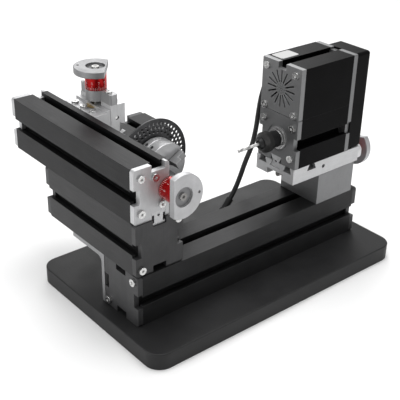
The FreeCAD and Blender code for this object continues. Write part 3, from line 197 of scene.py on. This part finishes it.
def turned_metal(name, axis, centre, colour=(0.5, 0.502, 0.51), rough=0.42, metallic=0.8, dish=0.0):
    """Turned metal with fine rings round an axis through the centre, darkened with painted shade within the
    radius of a dish.
    """
    shader = Shader(name)
    normal, edge = shader.soft_edges(0.25*MM)
    moved = shader.add("ShaderNodeVectorMath", operation="SUBTRACT")
    moved.inputs[1].default_value = centre
    shader.link(shader.place, moved.inputs[0])
    flat = shader.add("ShaderNodeVectorMath", operation="MULTIPLY")
    flat.inputs[1].default_value = tuple(0.0 if letter == axis else 1.0 for letter in "xyz")
    shader.link(moved.outputs["Vector"], flat.inputs[0])
    length = shader.add("ShaderNodeVectorMath", operation="LENGTH")
    shader.link(flat.outputs["Vector"], length.inputs[0])
    rings = shader.add("ShaderNodeTexNoise", noise_dimensions="1D")
    rings.inputs["Scale"].default_value = 1.0
    rings.inputs["Detail"].default_value = 3.0
    shader.link(shader.maths("MULTIPLY", length.outputs["Value"], 2600.0), rings.inputs["W"])
    cloud = shader.noise(90)
    tinted = shader.mix(shader.spread(cloud, 0.0, 0.5), colour, tuple(c*0.72 for c in colour))
    tinted = shader.mix(shader.maths("MULTIPLY", edge, 0.5), tinted, tuple(min(1, c*1.5) for c in colour))
    # Painted shade: the metal is darkened within the dish.
    if dish:
        dish_shade = shader.spread(length.outputs["Value"], 1.0, 0.0, dish - 0.5*MM, dish)
        tinted = shader.mix(dish_shade, tinted, tuple(c*0.4 for c in colour))
    roughness = shader.maths("ADD", shader.spread(rings.outputs["Fac"], rough - 0.05, rough + 0.1),
                             shader.spread(cloud, -0.03, 0.06))
    return shader.finish(tinted, roughness, metallic, shader.bump(rings.outputs["Fac"], 0.03*MM, normal))


def threaded_steel(name, axis, pitch=1.0*MM):
    """Plated steel with the look of a fine thread along the axis, its grooves darkened with painted shade."""
    shader = Shader(name)
    wave = shader.add("ShaderNodeTexWave", wave_type="BANDS", bands_direction=axis.upper())
    wave.inputs["Scale"].default_value = 0.314/pitch
    wave.inputs["Distortion"].default_value = 0.0
    shader.link(shader.place, wave.inputs["Vector"])
    oil = shader.noise(300)
    # Painted shade: dark bands in the thread's grooves.
    groove = shader.mix(wave.outputs["Fac"], (0.17, 0.165, 0.16), (0.62, 0.62, 0.61))
    tinted = shader.mix(shader.spread(oil, 0.0, 0.35), groove, (0.2, 0.19, 0.17))
    return shader.finish(tinted, shader.spread(oil, 0.24, 0.42), 1.0,
                         shader.bump(wave.outputs["Fac"], 0.35*MM))


def screw_steel():
    """Zinc-plated pan heads, a little blotchy."""
    shader = Shader("screw_steel")
    normal, edge = shader.soft_edges(0.5*MM)
    blotch = shader.noise(700)
    tinted = shader.mix(shader.spread(blotch, 0.0, 0.7), (0.72, 0.72, 0.71), (0.4, 0.4, 0.4))
    tinted = shader.mix(shader.maths("MULTIPLY", edge, 0.4), tinted, (0.9, 0.9, 0.9))
    return shader.finish(tinted, shader.spread(blotch, 0.18, 0.36), 1.0, shader.bump(blotch, 0.02*MM, normal))


def board():
    """Black moulded base board with a fine pebble grain."""
    shader = Shader("base_board")
    normal, edge = shader.soft_edges(0.8*MM)
    pebble = shader.add("ShaderNodeTexVoronoi", feature="SMOOTH_F1")
    pebble.inputs["Scale"].default_value = 1500
    shader.link(shader.place, pebble.inputs["Vector"])
    cloud = shader.noise(26, detail=5.0)
    dust = shader.noise(1700, detail=2.0)
    tinted = shader.mix(shader.spread(cloud, 0.0, 0.8), (0.0075, 0.0075, 0.008), (0.0115, 0.0115, 0.012))
    tinted = shader.mix(shader.spread(dust, 0.0, 0.5, 0.62, 0.8), tinted, (0.03, 0.03, 0.03))
    tinted = shader.mix(shader.maths("MULTIPLY", edge, 0.25), tinted, (0.04, 0.04, 0.04))
    height = shader.maths("ADD", pebble.outputs["Distance"], shader.maths("MULTIPLY", dust, 0.4))
    return shader.finish(tinted, shader.spread(cloud, 0.44, 0.56), 0.0, shader.bump(height, 0.06*MM, normal),
                         gloss=0.3)


def black_rubber():
    """Soft black rubber with faint dust."""
    shader = Shader("black_rubber")
    skin = shader.noise(900)
    cloud = shader.noise(120)
    tinted = shader.mix(shader.spread(cloud, 0.0, 1.0), (0.012, 0.012, 0.013), (0.026, 0.026, 0.027))
    return shader.finish(tinted, shader.spread(skin, 0.44, 0.58), 0.0,
                         shader.bump(skin, 0.05*MM))


def red_anodised():
    """Deep red anodised collar with fine turning marks."""
    shader = Shader("red_anodised")
    normal, edge = shader.soft_edges(0.25*MM)
    fine = shader.noise(1500, detail=2.0)
    cloud = shader.noise(110)
    tinted = shader.mix(shader.spread(cloud, 0.0, 1.0), (0.46, 0.003, 0.004), (0.3, 0.002, 0.003))
    tinted = shader.mix(shader.maths("MULTIPLY", edge, 0.35), tinted, (0.7, 0.12, 0.1))
    return shader.finish(tinted, shader.spread(fine, 0.2, 0.34), 0.75, shader.bump(fine, 0.015*MM, normal))


def paint(name, colour, rough=0.5):
    """Thin painted or printed marking, slightly uneven."""
    shader = Shader(name)
    wear = shader.noise(2600)
    tinted = shader.mix(shader.spread(wear, 0.0, 0.6), colour, tuple(c*0.78 for c in colour))
    return shader.finish(tinted, shader.spread(wear, rough - 0.08, rough + 0.1), 0.0,
                         shader.bump(wear, 0.01*MM))


def brass():
    """Dull brass of the feed nuts."""
    shader = Shader("brass_nut")
    cloud = shader.noise(300)
    tinted = shader.mix(shader.spread(cloud, 0.0, 1.0), (0.62, 0.44, 0.18), (0.4, 0.27, 0.1))
    return shader.finish(tinted, shader.spread(cloud, 0.28, 0.5), 1.0, shader.bump(cloud, 0.03*MM))


def fluted_drill(centre):
    """Bright drill with two spiral flutes darkened by painted shade, drawn from the angle round X and the
    place along it.
    """
    flute_lead = 18*MM
    shank_start = 17*MM
    shader = Shader("fluted_drill")
    moved = shader.add("ShaderNodeVectorMath", operation="SUBTRACT")
    moved.inputs[1].default_value = centre
    shader.link(shader.place, moved.inputs[0])
    parts = shader.add("ShaderNodeSeparateXYZ")
    shader.link(moved.outputs["Vector"], parts.inputs["Vector"])
    angle = shader.maths("ARCTAN2", parts.outputs["Z"], parts.outputs["Y"])
    twist = shader.maths("MULTIPLY", parts.outputs["X"], 2*math.pi/flute_lead)
    turned = shader.maths("MULTIPLY", shader.maths("ADD", angle, twist), 2.0)
    flute = shader.spread(shader.maths("SINE", turned), 0.0, 1.0, -0.2, 0.5)
    shank = shader.spread(parts.outputs["X"], 1.0, 0.0, shank_start, shank_start + 2*MM)
    groove = shader.maths("MULTIPLY", flute, shank)
    fine = shader.noise(2200)
    # Painted shade: the flutes are darker than the lands.
    tinted = shader.mix(groove, (0.7, 0.7, 0.69), (0.36, 0.36, 0.36))
    return shader.finish(tinted, shader.spread(fine, 0.3, 0.42), 1.0,
                         shader.bump(shader.maths("SUBTRACT", 1.0, groove), 0.2*MM))


def knurled_black(centre):
    """Blackened steel with straight knurling round X."""
    shader = Shader("knurled_black")
    normal, edge = shader.soft_edges(0.3*MM)
    moved = shader.add("ShaderNodeVectorMath", operation="SUBTRACT")
    moved.inputs[1].default_value = centre
    shader.link(shader.place, moved.inputs[0])
    parts = shader.add("ShaderNodeSeparateXYZ")
    shader.link(moved.outputs["Vector"], parts.inputs["Vector"])
    angle = shader.maths("ARCTAN2", parts.outputs["Z"], parts.outputs["Y"])
    ridge = shader.maths("SINE", shader.maths("MULTIPLY", angle, 60.0))
    fine = shader.noise(1200)
    tinted = shader.mix(shader.spread(fine, 0.0, 1.0), (0.014, 0.014, 0.015), (0.034, 0.033, 0.032))
    tinted = shader.mix(shader.maths("MULTIPLY", edge, 0.35), tinted, (0.2, 0.2, 0.2))
    return shader.finish(tinted, shader.spread(fine, 0.3, 0.44), 0.6,
                         shader.bump(ridge, 0.12*MM, normal))


def centre_of(node):
    low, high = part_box(node)
    return tuple((low + high)/2)


def dress(material, *names):
    """Give CAD nodes a material and smooth shading over their curved faces."""
    for name in names:
        mesh = nodes[name].data
        mesh.materials.clear()
        mesh.materials.append(material)
        mesh.shade_smooth()
        mesh.set_sharp_from_angle(angle=math.radians(28))


BLACK = (0.0105, 0.0105, 0.011)
# Painted shade: the head housings and belt cover use the bed's anodised black, darkened for the shade on
# their sides.
SHADED_HEAD_BLACK = (0.002, 0.002, 0.0022)
dress(board(), "base_plate")
dress(anodised("black_along_x", BLACK, "x", 0.12, gloss=0.3), "bed_profile")
shaded_head_black = anodised("shaded_head_black", SHADED_HEAD_BLACK, "x", 0.05, (0.34, 0.46), 0.0, 0.04)
dress(shaded_head_black, "spindle_housing", "motor_housing")
dress(anodised("shaded_cover_black", SHADED_HEAD_BLACK, "z", 0.08, (0.34, 0.46), 0.0, 0.05), "belt_cover")
dress(anodised("black_along_y", BLACK, "y", 0.12), "cross_beam_profile")
dress(anodised("table_black", (0.0075, 0.0075, 0.008), "y", 0.12, gloss=0.22), "table_profile")
dress(anodised("divider_black", (0.006, 0.006, 0.0064), "y", 0.1, gloss=0.2), "dividing_housing")
dress(anodised("black_plates", (0.03, 0.03, 0.031), "z", 0.12, (0.38, 0.5)),
      "bed_end_plates", "cross_beam_end_plates", "dividing_end_plates")
dress(anodised("index_black", (0.05, 0.05, 0.052), "z", 0.7, (0.28, 0.4), 0.7), "index_plate")
dress(bright_aluminium("silver_x", "x", (0.6, 0.603, 0.61)), "head_slide_plate", "head_connector_bar")
dress(bright_aluminium("bracket_silver", "x", (0.3, 0.302, 0.306)), "angle_bracket")
dress(bright_aluminium("silver_y", "y"), "y_carriage", "table_connector_bar")
# Painted shade: the pedestal's silver is darkened for the shadow that falls on it.
dress(bright_aluminium("shaded_pedestal_silver", "y", (0.25, 0.252, 0.256)), "head_pedestal")
# Painted light: this silver is brightened for the light on the Z slide plate's front face; the X bearing
# bracket shares it.
dress(bright_aluminium("brightened_silver_z", "z", (0.72, 0.723, 0.73)), "z_slide_plate", "x_bearing_bracket")
dress(bright_aluminium("bracket_top_silver", "z", (0.45, 0.452, 0.458)), "z_bearing_bracket")
dress(bright_aluminium("table_plate_silver", "z", (0.55, 0.553, 0.56)), "table_end_plates")
dress(bright_aluminium("grey_motor_plate", "z", (0.25, 0.252, 0.255), (0.36, 0.5)), "motor_front_plate")
dress(bright_aluminium("grey_spindle_plate", "z", (0.22, 0.222, 0.225), (0.36, 0.5)), "spindle_front_plate")
dress(bright_aluminium("grey_rear_plate", "z", (0.22, 0.222, 0.225), (0.36, 0.5)), "head_rear_plate")
dress(screw_steel(), "frame_plate_screws", "carriage_gib_screws", "z_slide_screws", "head_plate_screws")
dress(red_anodised(), "y_dial", "z_dial", "x_dial")
# Painted shade: the Z handwheel's tone is lower than the other two to offset the key light on its top.
for axis, tone in (("x", 0.46), ("y", 0.5), ("z", 0.26)):
    metal = turned_metal(f"{axis}_wheel_metal", axis, centre_of(f"{axis}_leadscrew"),
                         (tone, tone, tone*1.02), dish=DISH_SHADE_RADIUS)
    dress(metal, f"{axis}_handwheel")
    dress(threaded_steel(f"{axis}_thread", axis), f"{axis}_leadscrew")
chuck_axis = centre_of("work_chuck_body")
dress(turned_metal("chuck_metal", "y", chuck_axis, rough=0.36), "work_chuck_body", "work_chuck_scroll")
dress(turned_metal("spindle_metal", "y", chuck_axis, (0.5, 0.5, 0.5), 0.24), "work_spindle")
dress(turned_metal("bearing_metal", "y", chuck_axis, (0.6, 0.6, 0.6), 0.2), "dividing_bearings")
dress(bright_aluminium("jaw_steel", "y", (0.36, 0.36, 0.365), (0.3, 0.42)),
      "work_chuck_jaw_1", "work_chuck_jaw_2", "work_chuck_jaw_3")
dress(threaded_steel("pin_steel", "y", 0.8*MM), "index_pin")
drill_axis = centre_of("drill_chuck_body")
dress(turned_metal("nose_metal", "x", drill_axis, (0.55, 0.55, 0.55), 0.2), "spindle", "spindle_bearings")
dress(knurled_black(drill_axis), "drill_chuck_sleeve")
dress(turned_metal("black_chuck", "x", drill_axis, (0.022, 0.022, 0.023), 0.32, 0.6), "drill_chuck_body")
drill_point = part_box("drill_bit")[0] + Vector((0, DRILL_RADIUS, DRILL_RADIUS))
dress(fluted_drill(tuple(drill_point)), "drill_bit")
dress(brass(), "x_feed_nut", "carriage_feed_nuts")
dress(anodised("motor_black", (0.02, 0.02, 0.02), "x", 0.2), "motor")
dress(paint("pulley_black", (0.03, 0.03, 0.03)), "motor_pulley", "spindle_pulley")
rubber = black_rubber()
dress(rubber, "drive_belt", "lead_gland", "lead_plug")


# ---------------------------------------------------------------- small details

def new_piece(name, mesh_maker, material, body):
    """Object from a bmesh-building function, riding on a body."""
    work = bmesh.new()
    mesh_maker(work)
    mesh = bpy.data.meshes.new(name)
    work.to_mesh(mesh)
    work.free()
    mesh.materials.append(material)
    piece = bpy.data.objects.new(name, mesh)
    bpy.context.scene.collection.objects.link(piece)
    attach(piece, body)
    return piece


def add_box(work, matrix, size):
    """Box of a size, centred on the matrix."""
    bmesh.ops.create_cube(work, size=1.0, matrix=matrix @ Matrix.Diagonal((*size, 1.0)))


def frame_of(centre, outward, up):
    """Matrix whose Z is outward and whose Y is near up."""
    z = Vector(outward).normalized()
    x = Vector(up).cross(z).normalized()
    y = z.cross(x)
    return Matrix.Translation(centre) @ Matrix((x, y, z)).transposed().to_4x4()


# Strokes of the digits on a grid 1 wide and 2 tall: each a list of points.
DIGITS = {
    "0": [[(0, 0), (1, 0), (1, 2), (0, 2), (0, 0)]],
    "1": [[(0.5, 0), (0.5, 2), (0.2, 1.6)]],
    "2": [[(0, 2), (1, 2), (1, 1), (0, 1), (0, 0), (1, 0)]],
    "3": [[(0, 2), (1, 2), (1, 0), (0, 0)], [(0.3, 1), (1, 1)]],
    "4": [[(0, 2), (0, 1), (1, 1)], [(1, 2), (1, 0)]],
    "5": [[(1, 2), (0, 2), (0, 1), (1, 1), (1, 0), (0, 0)]],
    "6": [[(1, 2), (0, 2), (0, 0), (1, 0), (1, 1), (0, 1)]],
    "7": [[(0, 2), (1, 2), (0.4, 0)]],
    "8": [[(0, 0), (1, 0), (1, 2), (0, 2), (0, 0)], [(0, 1), (1, 1)]],
    "9": [[(0, 0), (1, 0), (1, 2), (0, 2), (0, 1), (1, 1)]],
}


MARK_THICK = 0.06*MM
TICKS = 40
TICKS_PER_DIGIT = 4
TICK_WIDE = 0.2*MM
LONG_TICK = 4.4*MM
SHORT_TICK = 2.4*MM
TICK_START = 0.5*MM
DIGIT_START = 6.1*MM
DIGIT_TALL = 2.1*MM
STROKE_WIDE = 0.17*MM
STROKE_THICK = 0.05*MM


def add_stroke(work, base, start, end, width, depth):
    """Thin bar between two points of a base matrix's XY plane."""
    a, b = Vector((*start, 0)), Vector((*end, 0))
    run = (b - a).length + width
    turn = Matrix.Rotation(math.atan2(b.y - a.y, b.x - a.x), 4, "Z")
    add_box(work, base @ Matrix.Translation((a + b)/2) @ turn, (run, width, depth))


def add_digit(work, base, digit, tall):
    """One digit, standing on the origin of the base matrix."""
    unit = tall/2
    for stroke in DIGITS[digit]:
        for start, end in zip(stroke, stroke[1:]):
            ends = [((x - 0.5)*unit, y*unit) for x, y in (start, end)]
            add_stroke(work, base, *ends, STROKE_WIDE, STROKE_THICK)


def graduate(name, node, axis, reference, body):
    """White ticks and digits round a dial; the ticks start at its bearing end."""
    low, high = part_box(node)
    centre = (low + high)/2
    axis = Vector(axis)
    reference = Vector(reference)
    other = axis.cross(reference)
    length = abs((high - low).dot(axis))
    start = centre - axis*length/2
    radius = DIAL_RADIUS + 0.01*MM

    def build(work):
        for step in range(TICKS):
            angle = 2*math.pi*step/TICKS
            out = reference*math.cos(angle) + other*math.sin(angle)
            numbered = step % TICKS_PER_DIGIT == 0
            tick = LONG_TICK if numbered else SHORT_TICK
            at = start + axis*(TICK_START + tick/2) + out*radius
            add_box(work, frame_of(at, out, axis), (TICK_WIDE, tick, MARK_THICK))
            if numbered:
                at = start + axis*DIGIT_START + out*radius
                add_digit(work, frame_of(at, out, axis), str(step//TICKS_PER_DIGIT), DIGIT_TALL)

    return new_piece(name, build, white, body)


white = paint("white_marks", (0.66, 0.62, 0.61))
graduate("y_dial_marks", "y_dial", (0, -1, 0), (0, 0, 1), "y_wheel")
graduate("z_dial_marks", "z_dial", (0, 0, 1), (1, 0, 0), "z_wheel")
graduate("x_dial_marks", "x_dial", (1, 0, 0), (0, 0, 1), "x_wheel")


def motor_label():
    """Blank pale sticker with rounded corners on top of the motor housing."""
    size = (22*MM, 15*MM, 0.12*MM)
    from_front = 13.5*MM
    from_back = 9.6*MM
    corner = 1*MM
    low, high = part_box("motor_housing")

    def build(work):
        middle = Vector((low.x + from_front, high.y - from_back, high.z))
        add_box(work, Matrix.Translation(middle), size)
        upright = [edge for edge in work.edges
                   if abs(edge.verts[0].co.z - edge.verts[1].co.z) > size[2]/2]
        bmesh.ops.bevel(work, geom=upright, offset=corner, segments=4, affect="EDGES")

    return new_piece("motor_label", build, paint("label_paper", (0.44, 0.44, 0.436), 0.7), "head")


motor_label()


def vent_hub():
    """Painted shade of small holes in rings: thin dark discs in the middle of the vented plate."""
    rings = [(1, 0.0, 0, 0.9), (6, 2.3, 0, 0.6), (10, 4.4, 10, 0.6)]
    low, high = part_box("motor_front_plate")
    middle = Vector((low.x, (low.y + high.y)/2, (low.z + high.z)/2))

    def build(work):
        for count, radius, first, size in rings:
            for step in range(count):
                turn = math.radians(first + 360*step/count)
                at = middle + Vector((0.0, math.cos(turn), math.sin(turn)))*radius*MM
                bmesh.ops.create_cone(work, cap_ends=True, segments=20, radius1=size*MM,
                                      radius2=size*0.8*MM, depth=MARK_THICK,
                                      matrix=frame_of(at, (-1, 0, 0), (0, 0, 1)))

    return new_piece("vent_hub_hole_shade", build, paint("vent_hole_shade", (0.012, 0.012, 0.012)), "head")


vent_hub()


# ---------------------------------------------------------------- motor lead

LEAD_ROUTE = [
    (72, 7.128, 194.858), (72, 16.704, 186.823), (71.6, 24.6, 173), (70.8, 29.4, 156.5),
    (69.4, 30.6, 139.5), (67, 30.3, 121.5), (62.5, 30, 104), (54.2, 30, 89), (48.2, 30, 74),
    (41.305, 30, 60.07), (35.32, 30, 52.688),
]
# Along the smooth line of that route, from the mouth of the gland to the relief of the plug.
LEAD_RADIUS = 2.5*MM


def motor_lead():
    """Round rubber lead from its gland down to the relief of its plug."""
    curve = bpy.data.curves.new("motor_lead_cord", "CURVE")
    curve.dimensions = "3D"
    curve.bevel_depth = LEAD_RADIUS
    curve.bevel_resolution = 8
    curve.resolution_u = 16
    spline = curve.splines.new("NURBS")
    spline.points.add(len(LEAD_ROUTE) - 1)
    for point, place in zip(spline.points, LEAD_ROUTE):
        point.co = (*(value*MM for value in place), 1)
    spline.order_u = 3
    spline.use_endpoint_u = True
    curve.materials.append(rubber)
    lead = bpy.data.objects.new("motor_lead_cord", curve)
    bpy.context.scene.collection.objects.link(lead)
    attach(lead, "head")
    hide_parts("motor_lead")


motor_lead()


# ---------------------------------------------------------------- floor, light and camera

def floor():
    """Plain pale floor."""
    mesh = bpy.data.meshes.new("floor")
    half = 4.0
    corners = [(-half, -half, 0), (half, -half, 0), (half, half, 0), (-half, half, 0)]
    mesh.from_pydata(corners, [], [(0, 1, 2, 3)])
    shader = Shader("floor_paper")
    cloud = shader.noise(3)
    tinted = shader.mix(shader.spread(cloud, 0.0, 1.0), (0.84, 0.84, 0.84), (0.82, 0.82, 0.82))
    mesh.materials.append(shader.finish(tinted, shader.spread(cloud, 0.7, 0.8), 0.0))
    plane = bpy.data.objects.new("floor", mesh)
    plane.location.z = -0.2*MM
    bpy.context.scene.collection.objects.link(plane)


floor()


def softbox(name, place, target, size, power):
    """Square area light aimed at a point."""
    data = bpy.data.lights.new(name, "AREA")
    data.shape = "SQUARE"
    data.size = size
    data.energy = power
    light = bpy.data.objects.new(name, data)
    bpy.context.scene.collection.objects.link(light)
    light.location = place
    light.rotation_euler = (Vector(target) - Vector(place)).to_track_quat("-Z", "Y").to_euler()


softbox("key", (0.1, 0.05, 1.3), (0, 0, 0.08), 0.9, 15)
softbox("left", (-1.2, 0.1, 0.55), (0, 0, 0.1), 0.8, 6)
softbox("right", (0.75, -1.15, 0.45), (0, 0, 0.1), 0.6, 0.8)
softbox("back", (0.75, 1.05, 0.9), (0, 0, 0.1), 0.8, 6)

world = bpy.data.worlds.new("studio")
world.use_nodes = True
world.node_tree.nodes["Background"].inputs["Color"].default_value = (1.0, 1.0, 1.0, 1)
world.node_tree.nodes["Background"].inputs["Strength"].default_value = 0.52
bpy.context.scene.world = world

camera_data = bpy.data.cameras.new("camera")
camera_data.lens = 77.0
camera_data.sensor_width = 36.0
camera_data.dof.use_dof = False
camera = bpy.data.objects.new("camera", camera_data)
bpy.context.scene.collection.objects.link(camera)
right = Vector((0.7707, -0.6369, 0.0202))
up = Vector((0.2901, 0.3789, 0.8788))
ahead = Vector((0.5674, 0.6714, -0.4768))
camera.matrix_world = (Matrix.Translation((-0.48557, -0.53894, 0.46802))
                       @ Matrix((right, up, -ahead)).transposed().to_4x4())
bpy.context.scene.camera = camera
bpy.context.scene.view_settings.view_transform = "Standard"
